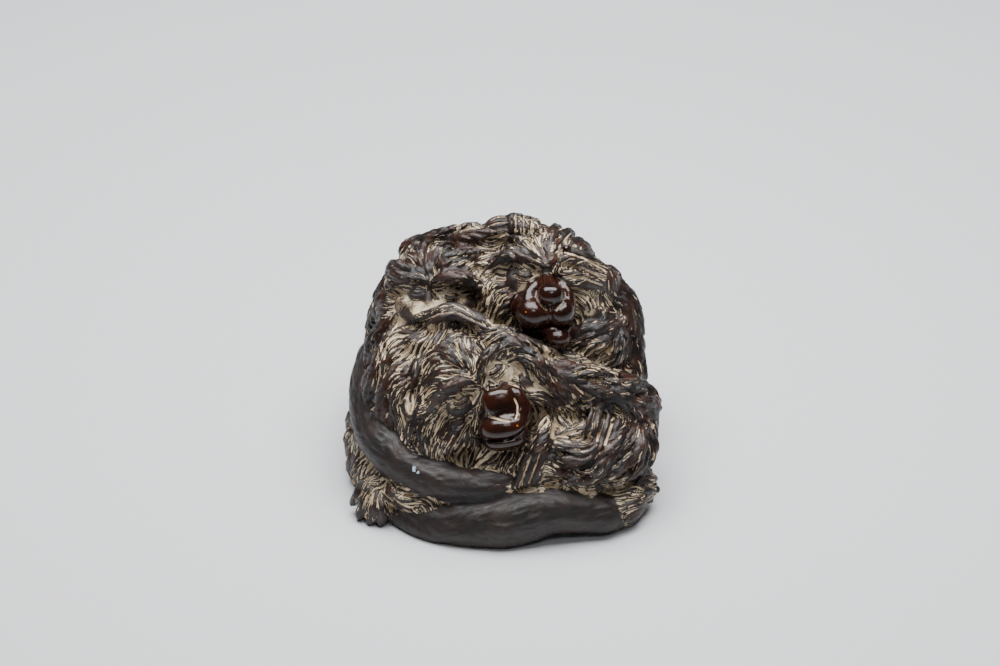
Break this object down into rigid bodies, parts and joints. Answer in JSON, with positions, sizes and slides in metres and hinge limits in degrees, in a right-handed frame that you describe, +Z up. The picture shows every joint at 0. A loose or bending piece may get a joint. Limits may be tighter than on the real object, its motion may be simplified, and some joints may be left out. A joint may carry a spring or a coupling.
{
  "type": "okimono",
  "caption": "Okimono of a huddle of sleeping monkeys in iron-brown glazed stoneware, with cream slip left in the combed fur and glossy bare muzzles.",
  "frame": {"origin": "centre of the group's box, on the flat underside on which it stands", "axes": "+Z up; the faces are on the -Y side and look forward and up, +X is to the viewer's right"},
  "size_m": [0.1602, 0.1524, 0.1289],
  "materials": {
    "brown_glaze": "dark iron-brown glaze, glossy on the bare muzzles, worn to rust on the ridges, with cream slip in the hollows of the fur"
  },
  "bodies": {
    "root": {"monkey_group": "brown_glaze"}
  },
  "joints": []
}
